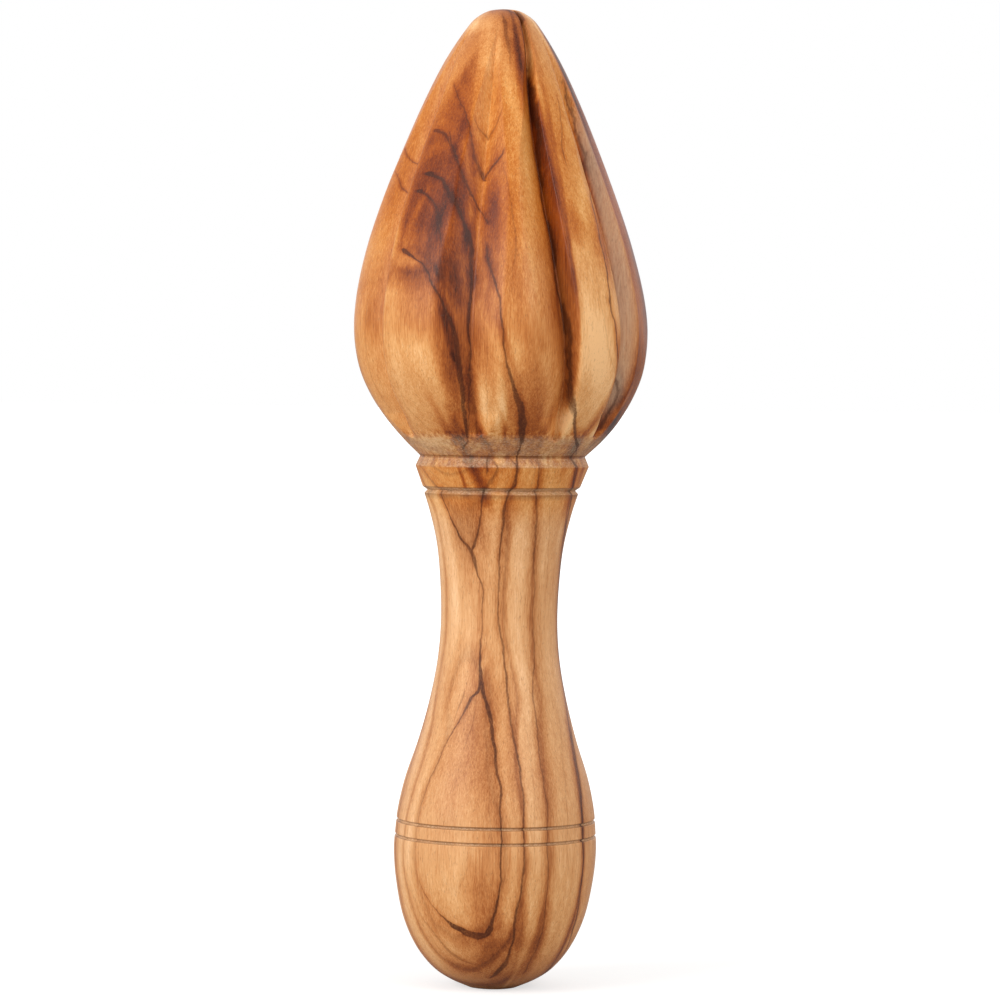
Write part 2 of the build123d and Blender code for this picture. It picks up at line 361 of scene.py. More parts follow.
# The veins that stand out on the front, each as its strength and points of height, azimuth and
# half width (mm) along it
VEINS = (
    (1.0, ((81.9, -52.1, 0), (81.1, -50.8, 0.21), (77.6, -45, 0.19), (74.1, -37.5, 0.29),
     (71.7, -26, 0.35), (68, -19.7, 0.19), (64.6, -15.9, 0.14), (59.9, -16.3, 0.14),
     (56, -16.2, 0.22), (50.6, -15.6, 0.33), (48.1, -22.7, 0.34), (45.4, -29.1, 0.2),
     (39.6, -40.8, 0.15), (32.4, -47.9, 0.13), (25.9, -50.8, 0.1), (20.2, -49.4, 0.1),
     (16.1, -43.8, 0.12), (13.8, -36.5, 0.18), (12.3, -29.4, 0.33), (11.4, -24.3, 0.82),
     (10.8, -19.2, 0.99), (10.6, -13.9, 1.62), (10.1, -12.1, 1.44), (9.8, -11.6, 0.81),
     (9.4, -11, 0))),
    (1.0, ((82.5, -10.3, 0), (81.5, -11.8, 0.22), (78.9, -13.5, 0.2), (75.9, -17.8, 0.23),
     (72.8, -23.6, 0.29), (71.5, -26.1, 0))),
    (1.0, ((51.7, -15.9, 0), (49.5, -13.4, 0.34), (46, -6.6, 0.33), (39.1, -1.1, 0.29),
     (33.8, 2.3, 0.23), (26.2, 2.9, 0.2), (20.4, 3.1, 0.2), (15.4, 1.1, 0.24), (12.2, -1.7, 0.34),
     (10.7, -4.3, 0.5), (9.8, -6.9, 0))),
    (0.35, ((18.4, -56.1, 0), (13.6, -52, 0.16), (9.7, -42.2, 0.23), (6.2, -28.6, 0.39),
     (4.8, -11.9, 0))),
    (0.45, ((47.8, -16.4, 0), (44.3, -19, 0.15), (38.3, -24, 0.09), (32, -27.1, 0.07),
     (24, -27.5, 0.07), (19.2, -25.2, 0))),
    (0.95, ((89.9, 11.2, 0), (88, 11.6, 0.23), (83.6, 11.2, 0.26), (81.5, 7.2, 0.28),
     (78.4, 3.7, 0.27), (72.9, 1.9, 0.2), (64.6, -0.3, 0.18), (59.9, 0.9, 0.18), (56.1, 5, 0.2),
     (47.9, 8.2, 0.22), (39.1, 14.2, 0.2), (31.5, 16.6, 0.18), (26.2, 16, 0.18),
     (20.4, 15.5, 0.22), (12.9, 12.2, 0.25), (8.6, 11.4, 0.25), (5.8, 9.6, 0.32),
     (4.2, 4.8, 0.45), (2.4, -5.6, 0))),
    (0.8, ((90, 22.9, 0), (85.4, 26.5, 0.18), (83, 27.1, 0.22), (78.9, 29.9, 0.22),
     (71.8, 33.7, 0.18), (62.2, 36.1, 0.13), (56, 35.7, 0.16), (45.1, 31.6, 0.16),
     (35.7, 31, 0.14), (26, 30.8, 0.16), (20.2, 30.9, 0.16), (13.5, 31.6, 0.16),
     (8.6, 30.3, 0.16), (4.7, 29.4, 0.18), (2.5, 27.8, 0))),
    (1.0, ((90, 47.3, 0), (88.5, 54.2, 0.26), (84.1, 59.3, 0.21), (81.3, 66.6, 0.25),
     (76.4, 72, 0.23), (70.3, 88.7, 0.17), (64.3, 88.9, 0.16), (57, 89.3, 0.18),
     (49.2, 89.9, 0.24), (41.6, 72.9, 0.25), (33.1, 64.2, 0.24), (25.4, 59.6, 0.25),
     (17.4, 61.2, 0.23), (11.4, 63.3, 0.24), (6.7, 69.2, 0.2), (4.4, 77.4, 0))),
    (0.5, ((49.2, 62.1, 0), (42.8, 56.2, 0.11), (33.4, 47.8, 0.11), (23.8, 45, 0.11),
     (15.6, 46.5, 0))),
    (0.95, ((122, -8.2, 0), (118.8, -5.7, 0.24), (116.1, -3.7, 0.25), (113.4, -1.4, 0.23),
     (108.9, 0.3, 0.2), (104.2, 1.7, 0.18), (100.7, 3.2, 0.28), (97.6, 5.8, 0.4),
     (94.4, 9.5, 0.58), (90.9, 11.7, 0.47), (88.8, 12.1, 0))),
    (0.92, ((159.8, 42.3, 0), (158.7, 38.8, 0.34), (154.6, 27.5, 0.32), (147.9, 25, 0.29),
     (143.2, 23.9, 0.27), (137.3, 23.6, 0.27), (132.4, 23.3, 0.27), (127.5, 22.8, 0.27),
     (123, 24.8, 0.3), (115.4, 25.5, 0.29), (109.9, 28.6, 0.28), (104.4, 30.2, 0.27),
     (98, 32.8, 0.28), (93.5, 37.6, 0.34), (88.5, 54.2, 0.29), (87.3, 61.1, 0))),
    (1.0, ((132.8, -40.5, 0), (132.4, -40.1, 0.9), (132, -37, 0.68), (131.4, -32.1, 0.41),
     (130, -28.2, 0.34), (127.7, -22.7, 0.31), (124.7, -18.4, 0.29), (121.1, -15.2, 0.33),
     (116.6, -13.6, 0.3), (111.3, -13.5, 0.27), (105.8, -13.7, 0.21), (99.4, -14.3, 0.15),
     (92.3, -16.6, 0.15), (89.9, -17.9, 0))),
    (0.8, ((129.9, -44, 0), (129.6, -43.7, 0.72), (129.1, -39.2, 0.42), (127.3, -33.2, 0.23),
     (124.8, -29.3, 0.2), (121.6, -26.3, 0.13), (118.7, -24.8, 0))),
    (1.0, ((120.4, -45.6, 0), (119.8, -44, 0.57), (118.8, -38.8, 0.35), (117.6, -33.7, 0.23),
     (114.1, -27.4, 0.24), (110.8, -22.7, 0.27), (107.6, -20, 0.33), (103.8, -18.4, 0.35),
     (99.7, -17.5, 0.35), (95.3, -17.9, 0.32), (91.5, -18.2, 0.31), (89.7, -19, 0))),
    (0.8, ((148.2, -46.4, 0), (146.5, -40.1, 0.15), (143.4, -29.2, 0.17), (140.4, -21.8, 0.17),
     (137, -18.1, 0.19), (134.6, -15.8, 0.23), (131.4, -10.7, 0.34), (131.1, -9.8, 0))),
    (0.8, ((137, 1.6, 0), (135.8, 0, 0.21), (134.3, -4.1, 0.24), (132.7, -8.2, 0.27),
     (131.4, -10.7, 0.25), (131.1, -11, 0))),
    (0.55, ((142.4, -21.4, 0), (140.9, -18.6, 0.14), (139.3, -14.8, 0.18), (138, -10.4, 0.21),
     (137.7, -9.7, 0))),
    (0.55, ((143.7, -0.4, 0), (142.4, -1.7, 0.14), (140.1, -5, 0.17), (138.1, -9.8, 0.19),
     (137.7, -10.4, 0))),
    (0.6, ((135.9, -1.2, 0), (133.7, 0, 0.11), (129.7, 2.6, 0.12), (126.1, 4.3, 0.14),
     (123.2, 5.6, 0.15), (120.4, 5.8, 0.17), (117.2, 4.9, 0.11), (112.1, 4.8, 0))),
    (0.9, ((139.8, -36.7, 0), (138.2, -32.6, 0.18), (133.2, -22.6, 0.21), (130.5, -19.1, 0.2),
     (128.1, -15.3, 0.19), (124.7, -8.2, 0.2), (123.9, -6.4, 0))),
    (0.7, ((139.8, -44.9, 0), (139.5, -44.3, 0.72), (139, -38.8, 0.41), (137, -30.7, 0.2),
     (134.5, -25, 0.12), (132.6, -21.6, 0))),
    (0.75, ((146.7, 45.2, 0), (143.9, 42.7, 0.14), (138.9, 38.2, 0.16), (135.3, 35.8, 0.17),
     (132.9, 37.1, 0))),
    (0.9, ((149.6, 66.8, 0), (147.1, 62.5, 0.17), (141.4, 61.1, 0.18), (138.8, 61.2, 0.2),
     (135.7, 62.1, 0.21), (128.1, 49.3, 0.23), (123.5, 48.5, 0.2), (119.7, 48, 0.23),
     (112.8, 47.4, 0.24), (108.3, 49.5, 0.23), (104.1, 52.5, 0.25), (98.9, 64.6, 0.25),
     (95.8, 66.1, 0.23), (92.6, 66.1, 0.26), (91.3, 66, 0))),
    (0.5, ((118.4, 40.8, 0), (114.8, 41.3, 0.09), (108.4, 44.1, 0.11), (102.9, 48.4, 0.13),
     (97.3, 63.9, 0.11), (93.6, 65.6, 0))),
    (0.4, ((122.6, 36.5, 0), (118.4, 37.6, 0.09), (112.4, 39, 0.09), (106.8, 40.5, 0))),
    (0.6, ((138, 26.4, 0), (133.4, 26.8, 0.14), (129.1, 27.5, 0.15), (126.3, 27.8, 0.09),
     (124.7, 28.1, 0))),
    (0.5, ((159.5, -7.8, 0), (157.5, -0.8, 0.31), (155.1, 2.1, 0.35), (152.4, 5, 0.23),
     (148.3, 5.9, 0))),
    (0.5, ((47.9, -11.2, 0), (41.6, -7.9, 0.11), (33.7, -4.4, 0.11), (25.9, -3.2, 0.11),
     (19.4, -3.5, 0))),
    (0.6, ((50, -29.6, 0), (48.1, -31.2, 0.17), (45.8, -35.1, 0.13), (42.9, -37, 0))),
    (0.4, ((81.2, 38.5, 0), (77.8, 44.2, 0.13), (72, 49.4, 0.11), (65.5, 51.3, 0.09),
     (57.4, 52.1, 0))),
    (0.4, ((47.9, 20.3, 0), (41.5, 23.4, 0.11), (33.7, 23.6, 0.11), (25.8, 22.5, 0.11),
     (16.1, 22.4, 0))),
    (0.6, ((138.2, -87.1, 0), (136.8, -77.6, 0.2), (135, -69.2, 0.28), (133.1, -50.1, 0))),
    (0.6, ((134.5, -87.6, 0), (132.5, -76.1, 0.21), (129.8, -65.4, 0.27), (128.2, -47.7, 0))),
    (0.6, ((108.6, -5.7, 0), (105, -5.6, 0.09), (99.4, -6.2, 0.11), (93.1, -7, 0.09),
     (90.9, -7.5, 0))),
    (0.5, ((115.5, -72, 0), (110.6, -70.3, 0.11), (105.8, -71.1, 0.12), (99.3, -72.2, 0.12),
     (95.3, -71.4, 0.11), (92.9, -67.4, 0))),
    (0.45, ((104.9, -48.5, 0), (100.9, -48.1, 0.09), (96.5, -48.1, 0.11), (93, -44.1, 0.12),
     (91, -40.2, 0))),
    (0.6, ((90.7, -18.1, 0), (89.8, -18.8, 0.22), (88.7, -22.9, 0.27), (87.9, -27.3, 0))),
    (0.8, ((87.5, -8.5, 0), (86.8, -8.7, 0.2), (84.9, -7.7, 0.22), (83.9, -8.5, 0))),
)

# Lightness of the wood between the lines, by layer number, in the handle and in the head
TONE_HANDLE = (
    (-34, 0.6), (-29.4, 0.45), (-27, 0.7), (-21, 0.52), (-17.2, 0.42), (-15, 0.7), (-11.1, 0.52),
    (-8, 0.72), (-5, 0.72), (-3, 0.66), (-2.2, 0.5), (-1.58, 0.22), (-0.9, 0.5), (0.2, 0.72),
    (2, 0.74), (3.8, 0.76), (4.7, 0.64), (5.5, 0.5), (6.1, 0.66), (7.2, 0.86), (8.1, 0.84),
    (8.5, 0.55), (9, 0.72), (9.7, 0.78), (10.3, 0.62), (10.7, 0.6), (11.3, 0.74), (12.2, 0.84),
    (14, 0.8), (20, 0.8),
)
TONE_HEAD = (
    (-34, 0.55), (-29, 0.42), (-26, 0.66), (-20.5, 0.48), (-17.5, 0.72), (-12.4, 0.55),
    (-11.2, 0.32), (-9.7, 0.42), (-8.2, 0.72), (-6.2, 0.9), (-4.8, 0.94), (-3.4, 0.7),
    (-2.5, 0.5), (-1.58, 0.22), (-0.6, 0.44), (1, 0.58), (3, 0.7), (4.2, 0.78), (5.2, 0.72),
    (6.6, 0.64), (7.8, 0.6), (8.5, 0.44), (9.4, 0.58), (10.3, 0.42), (12.6, 0.37), (13.6, 0.26),
    (14.3, 0.16), (15, 0.5), (16.2, 0.72), (18, 0.84), (20, 0.82),
)

# Darker and lighter patches on the front, partly the wood's own tone and partly painted light and
# shade on lit walls, shaded cheeks and flute ends: height, azimuth, half height, half width, lean
# in degrees per mm of height, and how much lighter. Widths are in degrees too.
TONE_AND_LIGHT_PATCHES = (
    (148.6, -36, 11.4, 19.8, -0.01, -0.26), (132.6, -37, 13.9, 23.9, -0.02, -0.26),
    (133.1, -74.6, 8.2, 18.6, 0.52, -0.16), (120.1, -11.5, 11.4, 11.5, -0.54, -0.1),
    (125.7, -3.1, 13.9, 7.5, -0.09, -0.22), (121, -43.8, 3.9, 15.5, 0, 0.32),
    (116.4, -41.7, 3.6, 18.6, 0, -0.4), (114, -19.1, 5.6, 3.1, -0.58, -0.3),
    (118.7, -22.1, 5.6, 7.1, -0.67, -0.2), (101, -22.8, 12.3, 5.8, -0.45, -0.18),
    (96.3, -3.3, 13.1, 10, -0.23, 0.34), (95, -7.8, 6.9, 4.7, -0.17, 0.42),
    (93.4, -0.6, 4.3, 4.2, 0.93, 0.36), (93.2, 18.5, 10.1, 10.3, -1.16, -0.32),
    (102.7, 13.8, 9.8, 5.5, -0.45, -0.12), (112.4, 7.9, 9.8, 6.9, -0.47, -0.22),
    (120.4, -73.9, 7.4, 19.4, -0.35, 0.1), (98.5, -66.2, 13.9, 22.7, 0.09, 0.08),
    (91.9, 64.6, 4.3, 20, 1.2, -0.48), (151.1, 12.4, 11.4, 7.9, -0.08, -0.16),
    (141, 24.1, 9.5, 3.7, 0.01, -0.34), (144.4, -3.5, 7.5, 8.7, -0.15, -0.24),
    (93.1, 34.7, 4.9, 4.1, -1.2, 0.46), (105.2, 36.4, 14.7, 8.6, -1.05, 0.12),
    (85.5, -18.2, 3.3, 17.8, 0.5, -0.6), (84.5, 13.7, 2.3, 11, -0.46, 0.15),
    (86.3, -10.5, 2, 6.7, -0.08, -0.3), (78.2, -20.3, 6.2, 15.3, 0.47, -0.12),
    (78.9, 11.4, 6.2, 14.2, -0.34, -0.24), (55, -31.4, 8.2, 26.6, -1.2, 0.2),
    (38.3, -21.1, 13.9, 31.3, -0.6, -0.22), (39.2, 9.3, 15.5, 16.8, -0.25, -0.2),
    (42.3, 30.5, 14.7, 13.6, 0.68, -0.12), (22.6, -6.4, 18, 11.1, -0.02, -0.22),
    (3.8, -7.5, 3.9, 45.6, 0, -0.3), (9.3, 32.2, 8.2, 7.3, 0.04, -0.35),
    (11.8, 16.9, 6.5, 4.5, 0.33, -0.4), (3.7, 19.7, 3.3, 13.6, -1.2, 0.25),
    (17.7, -12.7, 5.9, 11.7, 0.1, -0.2), (8.5, -0.4, 4.3, 32.4, 0, -0.45),
    (88.8, -39.1, 2.1, 32, 0, 0.55), (89.7, -7.9, 2, 6.8, 0.53, -0.45),
    (90.9, 2.6, 2, 7.4, 1.2, -0.4), (122.9, 47.7, 7.4, 9.7, -0.13, -0.3),
    (147.9, 29, 9, 7, 0.74, 0.45), (151.4, 15.7, 10.5, 6.2, 0.11, -0.46),
    (143.1, 62.6, 9, 7.5, -0.2, 0.45), (116.1, -11.8, 5.6, 4.2, -0.52, -0.32),
    (132.8, 26.3, 8.5, 3.1, -0.1, -0.26), (124.7, 26.9, 8.2, 3.2, -0.09, -0.1),
    (114.7, 30.5, 10.6, 3, -0.17, -0.24), (118.4, 27.2, 9.8, 2.2, -0.17, -0.05),
    (124.5, 34.4, 4.6, 7, 0.24, -0.3), (104.1, 42.7, 8.2, 6.4, -0.82, 0.22),
    (94.2, 69.1, 2.6, 6.9, -1.2, 0.4), (103.7, 55.4, 9, 4.5, -1.2, -0.36),
    (101.9, 5.5, 6.9, 5.5, -0.09, 0.2), (96.3, 1.1, 9, 3, -0.35, 0.3),
    (97.8, -17.6, 9, 2.5, -0.03, 0.28), (92.7, -23.1, 3.6, 5, 1.14, -0.36),
    (26.2, -55.9, 10.1, 23.1, -0.34, 0.17), (76.7, -62, 9.8, 18.3, 0.15, 0.18),
    (79.3, 68, 8.2, 12.8, -1.2, 0.24), (120.1, -11.5, 5.6, 4.3, -0.54, 0.28),
    (126.1, -28, 4.9, 9.2, -1.14, -0.26), (92.7, -16.8, 5.6, 3.9, 0.36, 0.3),
    (111.1, -42.6, 4.6, 12.6, -0.23, -0.12), (104.1, -33.6, 4.3, 9.2, 0.24, 0.15),
    (118.1, -37.5, 1.5, 12.4, 0, 0.25), (127.8, -5.4, 4.9, 5.5, -0.15, -0.3),
    (122, -15.9, 3.9, 3.5, -0.18, -0.36), (128, -20.2, 4.9, 4.5, -0.82, -0.22),
    (137.8, -26.8, 4.3, 6, -1.2, -0.24), (136.2, -5, 5.2, 6.6, -0.16, -0.12),
    (112.3, -26.3, 3.6, 3.5, -0.87, 0.25), (114.2, 62.7, 10.6, 6.5, -0.03, -0.24),
    (120.5, 51.7, 9, 3.2, 0.22, -0.34), (92.3, 51.9, 4.6, 12.4, -1.2, -0.44),
    (99.7, -21.6, 5.2, 4.7, -0.31, -0.24), (83.7, -26.6, 1.5, 5.4, 0.97, -0.35),
    (12.4, 3.1, 2.3, 3.6, -0.11, -0.3), (63.8, -47.4, 12.8, 18.9, 0.05, 0.22),
    (69.6, 43.3, 7.8, 10.3, -0.56, 0.18), (157.3, -54, 2.3, 39.1, 0, 0.3),
    (108.7, -67.6, 4.6, 8.4, -0.03, -0.16), (107.9, -37.1, 3.6, 12.5, 0, -0.14),
    (94.3, -30.5, 2.6, 7.1, 1.2, -0.2), (91.9, 24.7, 2.9, 8.9, -1.13, -0.2),
    (105.1, 16.1, 3.9, 3.6, -0.4, -0.14), (140, -37, 2, 11, 0, 0.22),
    (127, -41.6, 2.5, 7.7, -0.92, 0.22), (53.1, -14.5, 2.3, 7.6, -0.3, 0.26),
    (92.7, 69.4, 2.3, 14.6, 0, -0.1), (85.1, 56.6, 2, 12.2, 0, 0.12),
    (154.1, -5, 10.1, 52.9, -0.4, -0.11), (150.1, -30.2, 4.3, 10.9, -0.43, -0.14),
    (20.6, 59.7, 9.8, 9.4, -0.69, 0.17), (7.5, 64.1, 2.9, 11.8, -1.2, 0.2),
    (156, 46.5, 3.9, 17.5, -0.14, -0.2), (152.4, -7.8, 5.6, 8.6, -0.49, 0.14),
    (63.9, -19, 7.5, 6.1, -0.02, -0.15), (72.1, 1, 4.3, 5.4, -0.07, -0.16),
)

# The wood's colours (0..255) from dark to light, and how far they turn from the handle's to
# the head's, by height
PALETTE_HANDLE = (
    (0, (62, 30, 18)), (0.2, (116, 62, 34)), (0.42, (166, 100, 54)), (0.62, (200, 138, 86)),
    (0.8, (220, 165, 113)), (1, (243, 194, 146)),
)
PALETTE_HEAD = (
    (0, (60, 20, 7)), (0.2, (113, 45, 10)), (0.42, (158, 77, 18)), (0.62, (193, 113, 43)),
    (0.8, (217, 150, 80)), (1, (241, 187, 124)),
)
WARMTH = (
    (0, 0.1), (8, 0.4), (18, 0.3), (30, 0), (74, 0), (83, 0.9), (90, 0.8), (100, 0.6),
    (115, 0.65), (128, 1), (140, 1), (150, 0.75), (160, 0.3),
)

# Noises of the wood: scale across and along it (per mm), shift, strength and, where they aren't
# NOISE_DETAIL and NOISE_ROUGHNESS, detail and roughness
NOISES = {
    "layers_slow": (0.11, 0.03, 3.1, 1.1, 1, 0.5),
    "layers": (0.4, 0.055, 9.4, 0.55),
    "layers_fine": (2.6, 0.4, 5.2, 0.2),
    "sway": (0.35, 0.2, 71, 0.9),
    "sway_fine": (2.2, 1, 77, 0.26),
    "areas": (0.13, 0.05, 17, 0.3),
    "bands": (0.9, 0.05, 21, 0.22, 3, 0.6),
    "streaks": (3.4, 0.16, 2, 0.32, 3, 0.65),
    "fibres": (11, 0.55, 7, 0.3, 2, 0.6),
    "threads": (5.5, 0.35, 27, 0.34, 2, 0.6),
    "band_fibres": (1.3, 0.1, 37, 1.3, 3, 0.7),
    "fading": (0.25, 0.06, 31, 1.3),
    "ragged": (7, 0.8, 13, 1.5),
    "patchy": (0.35, 0.8, 41, 1.4),
    "frayed": (3, 4, 44, 1, 3, 0.7),
    "pores": (14, 1.1, 51, 1, 1, 0.5),
    "flecks": (4.6, 1.1, 57, 1, 1, 0.5),
    "rough": (6, 3, 0, 0.16),
    "sheen": (0.5, 0.2, 61, 0.16),
}
NOISE_DETAIL, NOISE_ROUGHNESS = 2, 0.5
SHIFT_SHARES = (1, 0.7, 0.3)

# Where the wood is set, in degrees round the tool, mm of height (UP) or mm beside a valley
# (BESIDE). Four figures fade in over the first two and out over the last two, and two fade from
# none to full. The wood goes towards a TONE by its SHARE.
HEAD_UP = (80, 94)
LEFT_FACE, LEFT_FACE_TONE, LEFT_FACE_SHARE = (-125, -105, -53, -47), 0.66, 0.9
# Painted shade on the walls of the deep valley, where the lamps' light can't reach
VALLEY_SHADE_BESIDE, VALLEY_SHADE_UP = (-1.6, -0.5, 1.4, 2.4), (90, 100, 138, 152)
VALLEY_SHADE_TONE, VALLEY_SHADE_SHARE = 0.46, 0.8
RIB_BESIDE, RIB, RIB_UP, RIB_SHARE = (1.4, 2.6), (60.5, 58), (88, 93), 0.88
# A painted reflection: one flute's wall is pale, as if it mirrored the bright surroundings
REFLECTION_WALL, REFLECTION_WALL_UP = (60.5, 63, 65, 69), (92, 98, 138, 146)
# The right side of the head is darker: mostly painted shade where it turns away from the lamps,
# partly darker wood
RIGHT_WOOD_AND_SHADE, RIGHT_WOOD_AND_SHADE_LIGHTER = (66, 69.5, 92, 108), -0.31
# Painted light beside one flute near the tip, evening out the shade in its hollow
TIP_LIGHT_BESIDE, TIP_LIGHT_UP = (-3.1, -2.7, 2.2, 2.8), (136, 142, 152, 159)
TIP_LIGHT_AMOUNT = 0.08
# Darker towards the butt: partly painted shade on the underside, partly darker wood
BUTT_WOOD_AND_SHADE_UP, BUTT_WOOD_AND_SHADE_DARKER = (8, 0.5), 0.15
BAND_UP = (85.4, 86, 90.6, 92)
FRONT, COLLAR_UP = (-84, -66, 66, 84), (81, 82.5, 86, 87.5)
# Two heights, and the figures there: the stretch of distances beside the shaded valley, which
# narrows the valley's painted shade towards the foot, and the tone of the rib right of it
VALLEY_NARROWS, RIB_TONES = (130, 102, 1, 1.9), (138, 112, 0.72, 0.91)

# How far the layers' own lines give way, on the front and how much more in the head there, on
# the left face and on the bright rib
FRONT_CLEARED, FRONT_CLEARED_HEAD = 0.74, 0.24
LEFT_FACE_CLEARED, RIB_CLEARED = 0.95, 0.7

# Veins: the share taken of distances across them, what their half widths are less by, and how
# fast their edges and the darker wood beside them (the halo) fade per mm
VEIN_ARC, VEIN_THINNED, VEIN_EDGE = 0.75, 0.02, 6.5
HALO_EDGE, HALO_START, HALO_BY_WIDTH, HALO_DARKER = 1.4, 0.75, 7, 0.14

# Middle values that noises play about
FADING, RAGGED, PATCHY, GRAINY, GRAINY_STREAKS = 0.9, 0.94, 0.8, 0.55, 2

# Turned grooves, the collar's chamfer and the plain band are rough: height, grey and dark shares
ROUGH_COLLAR = (
    (80, 0, 0), (80.95, 0, 0.9), (81.1, 0.7, 0), (81.95, 0.75, 0), (82.1, 0, 0.8),
    (82.25, 0, 0), (85.3, 0, 0), (85.6, 0.6, 0), (86.8, 0.6, 0), (86.95, 0.1, 0.9),
    (87.25, 0.1, 0.9), (87.45, 0.6, 0), (89.8, 0.55, 0), (90.9, 0, 0), (92, 0, 0),
)
ROUGH_BULB = (
    (24, 0, 0), (24.68, 0, 0), (24.76, 0, 0.8), (24.86, 0.7, 0), (25.14, 0.7, 0),
    (25.24, 0, 0.7), (25.34, 0, 0), (27.16, 0, 0), (27.25, 0, 0.8), (27.36, 0.7, 0),
    (27.64, 0.7, 0), (27.75, 0, 0.7), (27.86, 0, 0), (29, 0, 0),
)
FRAYED = ((-0.16, (0.3, 0.18, 0.095)), (0, (0.45, 0.295, 0.17)), (0.16, (0.66, 0.5, 0.35)))

# Colours (linear light) and shares of what lies over the wood
# The first colour here is a painted reflection, laid on one flute's wall
REFLECTION_COLOUR = (0.58, 0.41, 0.27)
DARK_COLOUR, DARK_SHARE = (0.13, 0.06, 0.03), 0.8
LINE_COLOUR, LINE_SHARE = (0.055, 0.013, 0.005), 0.88
PORE_COLOUR, PORE_SHARE, PORE_FROM, PORE_FULL = (0.16, 0.07, 0.03), 0.5, 0.16, 0.26
FLECK_COLOUR, FLECK_SHARE, FLECK_FROM, FLECK_FULL = (0.2, 0.075, 0.03), 0.3, 0.15, 0.22

# Relief: the turned rings (how close, and how strong on smooth wood) and each figure's share
RING_RATE, RING_LEAST = 17, 0.06
STREAK_RELIEF, FIBRE_RELIEF, PORE_RELIEF, RING_RELIEF = 0.1, 0.12, -0.03, 0.02
LINE_RELIEF = -0.008
BUMP_STRENGTH, BUMP_DISTANCE = 0.6, 0.001
# Roughness of smooth wood, and what grey and streaky places add to it
SMOOTH, GREY_ROUGHER, STREAK_ROUGHER = 0.35, 0.25, 0.3
REFRACTION, SPECULAR = 1.45, 0.2

# Sockets of a colour Mix node, and a display colour's curve
MIX_SHARE, MIX_A, MIX_B, MIX_COLOUR = 0, 6, 7, 2
DISPLAY_SHIFT, DISPLAY_GAMMA, DISPLAY_FULL = 0.055, 2.4, 255


def linear(colour):
    """A display colour (0..255) as linear light."""
    return tuple(((c / DISPLAY_FULL + DISPLAY_SHIFT) / (1 + DISPLAY_SHIFT)) ** DISPLAY_GAMMA
                 for c in colour)


